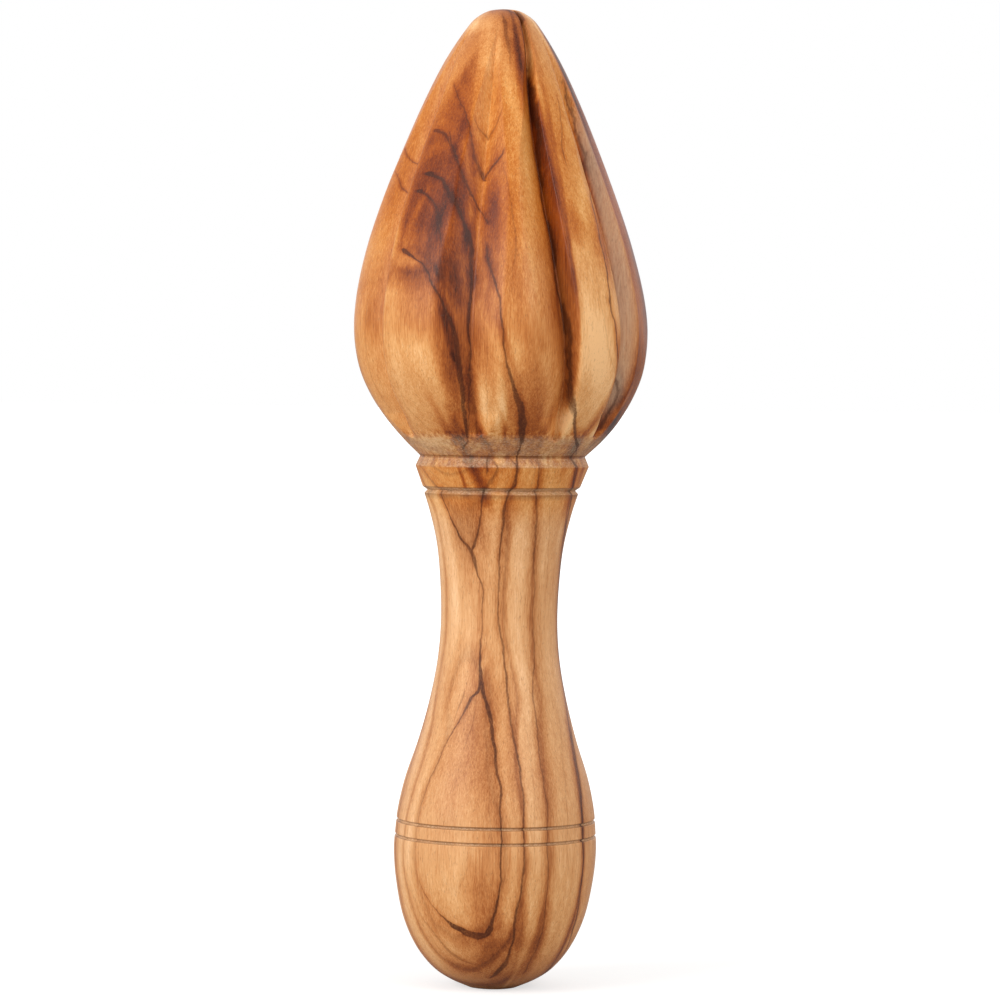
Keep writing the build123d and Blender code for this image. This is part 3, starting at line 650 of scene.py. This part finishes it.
class Graph:
    """Short calls for the nodes of one material. A value may be a socket or a number."""

    def __init__(self, tree):
        self.tree = tree
        tree.nodes.clear()

    def put(self, socket, value):
        """Link a socket to an input, or set the input to a number or colour."""
        if isinstance(value, bpy.types.NodeSocket):
            self.tree.links.new(value, socket)
        else:
            socket.default_value = value

    def node(self, kind, values=(), **settings):
        node = self.tree.nodes.new("ShaderNode" + kind)
        for name, setting in settings.items():
            setattr(node, name, setting)
        for name, value in dict(values).items():
            self.put(node.inputs[name], value)
        return node

    def math(self, operation, a, b=0.0, c=0.0, clamp=False):
        values = {0: a, 1: b, 2: c}
        return self.node("Math", values, operation=operation, use_clamp=clamp).outputs[0]

    def add(self, *values):
        total = values[0]
        for value in values[1:]:
            total = self.math("ADD", total, value)
        return total

    def times(self, a, b):
        return self.math("MULTIPLY", a, b)

    def rest_of(self, share):
        return self.math("SUBTRACT", 1.0, share)

    def most(self, a, b):
        return self.math("MAXIMUM", a, b)

    def spread(self, value, low, high, to_low=0.0, to_high=1.0, kind="LINEAR"):
        values = {"Value": value, "From Min": low, "From Max": high,
                  "To Min": to_low, "To Max": to_high}
        return self.node("MapRange", values, interpolation_type=kind).outputs[0]

    def fade(self, value, none, full):
        return self.spread(value, none, full, kind="SMOOTHSTEP")

    def between(self, value, span):
        """How far a value lies inside a span (low, rise, fall, high)."""
        low, rise, fall, high = span
        return self.times(self.fade(value, low, rise), self.fade(value, high, fall))

    def towards(self, value, target, share):
        """The value moved towards a target by a share of the way."""
        return self.add(value, self.times(share, self.math("SUBTRACT", target, value)))

    def noise(self, point, name):
        """One of NOISES, smooth and about zero."""
        across, along, shift, strength, *fineness = NOISES[name]
        detail, roughness = fineness or (NOISE_DETAIL, NOISE_ROUGHNESS)
        values = {0: point, 1: (across, across, along), 2: [shift * s for s in SHIFT_SHARES]}
        moved = self.node("VectorMath", values, operation="MULTIPLY_ADD").outputs[0]
        values = {"Vector": moved, "Scale": 1.0, "Detail": detail, "Roughness": roughness}
        value = self.math("SUBTRACT", self.node("TexNoise", values).outputs[0], 0.5)
        return value if strength == 1 else self.times(value, strength)

    def curve(self, value, points, low=None, high=None):
        """A smooth curve through points (0..1 across), whatever their height."""
        if low is None:
            low, high = min(p[1] for p in points), max(p[1] for p in points)
        node = self.node("FloatCurve", {"Value": value})
        line = node.mapping.curves[0]
        scaled = [(x, (y - low) / (high - low)) for x, y in points]
        line.points[0].location, line.points[1].location = scaled[0], scaled[-1]
        for x, y in scaled[1:-1]:
            line.points.new(x, y)
        for point in line.points:
            point.handle_type = "AUTO_CLAMPED"
        node.mapping.update()
        if (low, high) == (0, 1):
            return node.outputs[0]
        return self.math("MULTIPLY_ADD", node.outputs[0], high - low, low)

    def ramp(self, value, low, high, stops):
        """Colours by value between low and high; a stop is (value, colour)."""
        node = self.node("ValToRGB", {"Fac": self.spread(value, low, high)})
        bar = node.color_ramp
        places = [(min(max((v - low) / (high - low), 0), 1), colour) for v, colour in stops]
        bar.elements[0].position, bar.elements[-1].position = places[0][0], places[-1][0]
        for place, _ in places[1:-1]:
            bar.elements.new(place)
        for element, (_, colour) in zip(bar.elements, places):
            element.color = (*colour, 1)
        return node.outputs[0]

    def parts(self, colour):
        return self.node("SeparateColor", {"Color": colour}).outputs

    def mix(self, share, a, b):
        node = self.node("Mix", data_type="RGBA")
        self.put(node.inputs[MIX_SHARE], share)
        for i, value in ((MIX_A, a), (MIX_B, b)):
            self.put(node.inputs[i], (*value, 1) if isinstance(value, tuple) else value)
        return node.outputs[MIX_COLOUR]


def line_stops(low, high):
    """Ramp stops (handle, head, 0) for the dark lines whose middle lies in this span."""
    stops = [(low, (0, 0, 0))]
    for layer, half, handle, head in LINES:
        if low <= layer < high:
            for offset, share in LINE_PROFILE:
                stops.append((layer + offset * half, (handle * share, head * share, 0)))
    stops.append((high, (0, 0, 0)))
    return stops


def patch_tones_and_light(g, azimuth, z):
    """How much lighter the patches make each point, both as the wood's own tone and as painted
    light and shade. The sum starts from nothing, because Cycles draws black when so many values
    have to wait for the wood's tone."""
    round_and_up = g.node("CombineXYZ", {0: azimuth, 1: z}).outputs[0]
    total = 0.0
    for height, middle, half_height, half_width, lean, lighter in TONE_AND_LIGHT_PATCHES:
        values = {"Vector": round_and_up, "Location": (middle, height, 0),
                  "Rotation": (0, 0, -math.atan(lean)), "Scale": (half_width, half_height, 1)}
        spot = g.node("Mapping", values, vector_type="TEXTURE").outputs[0]
        inside = g.node("TexGradient", {0: spot}, gradient_type="SPHERICAL").outputs[1]
        total = g.math("MULTIPLY_ADD", inside, lighter, total)
    return total


def vein_shares(g, mm, azimuth, radius, z):
    """How far each point lies in a vein, and in the halo beside one."""
    sway = g.add(g.noise(mm, "sway"), g.noise(mm, "sway_fine"))
    arc = g.times(radius, math.radians(VEIN_ARC))
    veins, halo = 0.0, 0.0
    for strength, points in VEINS:
        foot, top = points[-1][0], points[0][0]
        along = g.spread(z, foot, top)
        places = [(h - foot) / (top - foot) for h, _, _ in points]
        azimuths = [a for _, a, _ in points]
        widths = [max(w - VEIN_THINNED, 0) for _, _, w in points]
        middle = g.curve(along, list(zip(places, azimuths))[::-1])
        half = g.curve(along, list(zip(places, widths))[::-1], 0.0, 1.0)
        away = g.math("MULTIPLY_ADD", g.math("SUBTRACT", azimuth, middle), arc, sway)
        gap = g.math("SUBTRACT", half, g.math("ABSOLUTE", away))
        inside = g.math("MULTIPLY", gap, VEIN_EDGE, clamp=True)
        veins = g.most(veins, g.times(inside, strength))
        near = g.math("MULTIPLY_ADD", gap, HALO_EDGE, HALO_START, clamp=True)
        near = g.times(near, g.math("MULTIPLY", half, HALO_BY_WIDTH * strength, clamp=True))
        halo = g.most(halo, near)
    return veins, halo


def wood_material():
    """Oiled olive wood."""
    material = bpy.data.materials.new("olive_wood")
    material.use_nodes = True
    g = Graph(material.node_tree)
    place = g.node("TexCoord").outputs["Object"]
    values = {0: place, "Scale": MM_PER_M}
    mm = g.node("VectorMath", values, operation="SCALE").outputs[0]
    x, y, z = g.node("SeparateXYZ", {0: mm}).outputs
    up = g.spread(z, 0.0, TIP_HEIGHT)
    in_head = g.fade(z, *HEAD_UP)

    def by_height(heights, values, *limits):
        return g.curve(up, [(h / TIP_HEIGHT, v) for h, v in zip(heights, values)], *limits)

    def by_part(handle, head):
        return g.add(g.times(handle, g.rest_of(in_head)), g.times(head, in_head))

    across = g.math("SUBTRACT", g.times(x, by_height(LAYER_HEIGHTS, LAYER_X)),
                    g.times(y, by_height(LAYER_HEIGHTS, LAYER_Y)))
    layer = g.add(across, by_height(LAYER_HEIGHTS, LAYER_SHIFT), g.noise(mm, "layers_slow"),
                  g.noise(mm, "layers"), g.noise(mm, "layers_fine"))
    azimuth = g.times(g.math("ARCTAN2", x, g.times(y, -1.0)), math.degrees(1))
    radius = g.math("SQRT", g.add(g.times(x, x), g.times(y, y)))

    def tones(table):
        stops = [(number, (tone, tone, tone)) for number, tone in table]
        return g.parts(g.ramp(layer, LINE_SPANS[0], LINE_SPANS[-1], stops))[0]

    def beside_valley(flute):
        """How far right of a flute's valley a point lies, in mm round the tool."""
        valley = by_height(AT_HEIGHTS[::-1], FLUTES[flute][AZIMUTHS][::-1])
        return g.times(g.times(g.math("SUBTRACT", azimuth, valley), radius), math.radians(1))

    # The left face of the head is plain and bright, one valley is darkened all the way down by
    # painted shade, and the rib right of it is bright
    tone = by_part(tones(TONE_HANDLE), tones(TONE_HEAD))
    left_face = g.times(g.between(azimuth, LEFT_FACE), in_head)
    tone = g.towards(tone, LEFT_FACE_TONE, g.times(left_face, LEFT_FACE_SHARE))
    beside = g.times(beside_valley(THIRD_FLUTE), g.spread(z, *VALLEY_NARROWS))
    rib = g.times(g.fade(beside, *RIB_BESIDE), g.fade(azimuth, *RIB))
    rib = g.times(rib, g.fade(z, *RIB_UP))
    tone = g.towards(tone, g.spread(z, *RIB_TONES), g.times(rib, RIB_SHARE))
    # Painted shade on the walls beside this valley
    shade = g.times(g.between(beside, VALLEY_SHADE_BESIDE), g.between(z, VALLEY_SHADE_UP))
    tone = g.towards(tone, VALLEY_SHADE_TONE, g.times(shade, VALLEY_SHADE_SHARE))
    # Painted reflection: the pale wall of one flute
    painted_reflection_wall = g.times(g.between(azimuth, REFLECTION_WALL), g.between(z, REFLECTION_WALL_UP))
    # Darker right side of the head: mostly painted shade, partly darker wood
    right_wood_and_shade = g.times(g.between(azimuth, RIGHT_WOOD_AND_SHADE), in_head)
    tone = g.math("MULTIPLY_ADD", right_wood_and_shade, RIGHT_WOOD_AND_SHADE_LIGHTER, tone)
    # Painted light near the tip, evening out the shade in one flute's hollow
    tip_painted_light = g.times(g.between(beside_valley(SECOND_FLUTE), TIP_LIGHT_BESIDE), g.between(z, TIP_LIGHT_UP))
    tone = g.math("MULTIPLY_ADD", tip_painted_light, TIP_LIGHT_AMOUNT, tone)
    # Patches of wood tone, and of painted light and shade
    tone = g.add(tone, patch_tones_and_light(g, azimuth, z))
    veins, halo = vein_shares(g, mm, azimuth, radius, z)
    tone = g.math("SUBTRACT", tone, g.times(halo, HALO_DARKER))
    # Darker towards the butt: partly painted shade, partly darker wood
    tone = g.math("SUBTRACT", tone, g.times(g.fade(z, *BUTT_WOOD_AND_SHADE_UP), BUTT_WOOD_AND_SHADE_DARKER))
    areas, bands = g.noise(mm, "areas"), g.noise(mm, "bands")
    streaks, fibres = g.noise(mm, "streaks"), g.noise(mm, "fibres")
    threads = g.noise(mm, "threads")
    band_fibres = g.times(g.between(z, BAND_UP), g.noise(mm, "band_fibres"))
    tone = g.math("ADD", g.add(tone, areas, bands, streaks, threads, band_fibres), fibres,
                  clamp=True)
    warm = by_height(*zip(*WARMTH), 0.0, 1.0)
    colour = g.mix(warm, *[g.ramp(tone, 0.0, 1.0, [(t, linear(c)) for t, c in palette])
                           for palette in (PALETTE_HANDLE, PALETTE_HEAD)])

    lines = None
    for low, high in zip(LINE_SPANS[:-1], LINE_SPANS[1:]):
        handle, head, _ = g.parts(g.ramp(layer, low, high, line_stops(low, high)))
        here = by_part(handle, head)
        lines = here if lines is None else g.most(lines, here)
    front = g.times(g.between(azimuth, FRONT), g.rest_of(g.between(z, COLLAR_UP)))
    front = g.times(front, g.math("MULTIPLY_ADD", in_head, FRONT_CLEARED_HEAD, FRONT_CLEARED))
    lines = g.times(lines, g.rest_of(g.most(front, g.times(left_face, LEFT_FACE_CLEARED))))
    lines = g.most(g.times(lines, g.rest_of(g.times(rib, RIB_CLEARED))), veins)
    fading = g.math("ADD", FADING, g.noise(mm, "fading"), clamp=True)
    ragged = g.math("ADD", RAGGED, g.noise(mm, "ragged"), clamp=True)
    lines = g.times(g.times(lines, fading), ragged)
    grainy = g.math("ADD", GRAINY, g.add(g.times(streaks, GRAINY_STREAKS), threads), clamp=True)
    # The painted reflection goes on, with the grain showing through it
    colour = g.mix(g.times(painted_reflection_wall, grainy), colour, REFLECTION_COLOUR)

    def rough_places(table):
        stops = [(height, (grey, dark, 0)) for height, grey, dark in table]
        return g.parts(g.ramp(z, table[0][0], table[-1][0], stops))

    collar, bulb = rough_places(ROUGH_COLLAR), rough_places(ROUGH_BULB)
    patchy = g.math("ADD", PATCHY, g.noise(mm, "patchy"), clamp=True)
    grey = g.times(g.most(collar[0], bulb[0]), patchy)
    dark = g.times(g.most(collar[1], bulb[1]), patchy)
    frayed = g.ramp(g.noise(mm, "frayed"), FRAYED[0][0], FRAYED[-1][0], FRAYED)
    colour = g.mix(grey, colour, frayed)
    colour = g.mix(g.times(dark, DARK_SHARE), colour, DARK_COLOUR)
    colour = g.mix(g.times(lines, LINE_SHARE), colour, LINE_COLOUR)
    pores = g.spread(g.noise(mm, "pores"), PORE_FROM, PORE_FULL)
    colour = g.mix(g.times(pores, PORE_SHARE), colour, PORE_COLOUR)
    flecks = g.spread(g.noise(mm, "flecks"), FLECK_FROM, FLECK_FULL)
    colour = g.mix(g.times(flecks, FLECK_SHARE), colour, FLECK_COLOUR)

    rings = g.times(g.math("SINE", g.times(z, RING_RATE)), g.most(grey, RING_LEAST))
    relief = g.add(
        g.times(streaks, STREAK_RELIEF), g.times(fibres, FIBRE_RELIEF),
        g.times(pores, PORE_RELIEF), g.times(rings, RING_RELIEF),
        g.times(grey, g.noise(mm, "rough")), g.times(lines, LINE_RELIEF),
    )
    bump = g.node("Bump", {"Strength": BUMP_STRENGTH, "Distance": BUMP_DISTANCE,
                                     "Height": relief})
    roughness = g.add(SMOOTH, g.noise(mm, "sheen"), g.times(grey, GREY_ROUGHER),
                      g.times(streaks, STREAK_ROUGHER))
    shader = g.node("BsdfPrincipled", {
        "Base Color": colour, "Roughness": roughness, "Normal": bump.outputs[0],
        "IOR": REFRACTION, "Specular IOR Level": SPECULAR})
    g.node("OutputMaterial", {"Surface": shader.outputs[0]})
    return material


reamer.data.materials.append(wood_material())

# Floor: its glow, which only the camera sees, grows between two distances (m) from the middle
FLOOR_SIZE, FLOOR_GREY = 60, (0.5, 0.5, 0.5, 1)
FLOOR_GLOWS = (0.1, 0.5, 0.62, 1)
# World: what the camera and reflections see, and what lights the reamer
SEEN_COLOUR = (1, 1, 1, 1)
FILL_COLOUR, FILL_STRENGTH = (1, 0.99, 0.97, 1), 0.64
# Lights: azimuth and elevation in degrees, distance, size and watts
LIGHT_TARGET = Vector((0, 0, 0.09))
LIGHTS = {"key": (-54, 22, 0.9, 0.55, 6), "front_right": (42, 28, 1, 0.55, 3.8)}
# Camera (mm, m and degrees), with a roll because the reamer leans a little in the photo
LENS, SENSOR = 143, 36
CAMERA_AIM = Vector((0.0001, 0, 0.0799))
CAMERA_ELEVATION, CAMERA_DISTANCE, CAMERA_ROLL = 1.5, 0.651, 0.61


def floor_material():
    material = bpy.data.materials.new("floor_white")
    material.use_nodes = True
    g = Graph(material.node_tree)
    place = g.node("TexCoord").outputs["Object"]
    away = g.node("VectorMath", {0: place}, operation="LENGTH").outputs["Value"]
    seen = g.node("LightPath").outputs["Is Camera Ray"]
    glow = g.node("Emission", {"Strength": g.times(seen, g.spread(away, *FLOOR_GLOWS))})
    diffuse = g.node("BsdfDiffuse", {"Color": FLOOR_GREY})
    both = g.node("AddShader", {0: diffuse.outputs[0], 1: glow.outputs[0]})
    g.node("OutputMaterial", {"Surface": both.outputs[0]})
    return material


def studio():
    world = bpy.data.worlds.new("studio")
    world.use_nodes = True
    g = Graph(world.node_tree)
    path = g.node("LightPath").outputs
    direct = g.most(path["Is Camera Ray"], path["Is Transmission Ray"])
    share = g.most(direct, path["Is Glossy Ray"])
    fill = g.node("Background", {"Color": FILL_COLOUR, "Strength": FILL_STRENGTH})
    seen = g.node("Background", {"Color": SEEN_COLOUR})
    mix = g.node("MixShader", {0: share, 1: fill.outputs[0], 2: seen.outputs[0]})
    g.node("OutputWorld", {"Surface": mix.outputs[0]})
    return world


def away_from(target, azimuth, elevation, distance):
    """The place at this distance from a target, by azimuth and elevation in degrees."""
    a, e = math.radians(azimuth), math.radians(elevation)
    level = math.cos(e)
    return target + distance * Vector((math.sin(a) * level, -math.cos(a) * level, math.sin(e)))


def softbox(name, azimuth, elevation, distance, size, watts):
    """An area light aimed at the middle of the reamer."""
    light = bpy.data.lights.new(name, "AREA")
    light.energy = watts
    light.size = size
    obj = bpy.data.objects.new(name, light)
    obj.location = away_from(LIGHT_TARGET, azimuth, elevation, distance)
    obj.rotation_euler = (LIGHT_TARGET - obj.location).to_track_quat("-Z", "Y").to_euler()
    bpy.context.scene.collection.objects.link(obj)


bpy.ops.mesh.primitive_plane_add(size=FLOOR_SIZE, location=(0, 0, 0))
floor = bpy.context.object
floor.name = "floor"
floor.data.materials.append(floor_material())
bpy.context.scene.world = studio()
for name, figures in LIGHTS.items():
    softbox(name, *figures)

camera_data = bpy.data.cameras.new("camera")
camera_data.lens = LENS
camera_data.sensor_width = SENSOR
camera = bpy.data.objects.new("camera", camera_data)
camera.location = away_from(CAMERA_AIM, 0, CAMERA_ELEVATION, CAMERA_DISTANCE)
turn = (CAMERA_AIM - camera.location).to_track_quat("-Z", "Y").to_matrix().to_4x4()
roll = Matrix.Rotation(math.radians(CAMERA_ROLL), 4, "Z")
camera.rotation_euler = (turn @ roll).to_euler()
bpy.context.scene.collection.objects.link(camera)
bpy.context.scene.camera = camera
bpy.context.scene.view_settings.view_transform = "Standard"
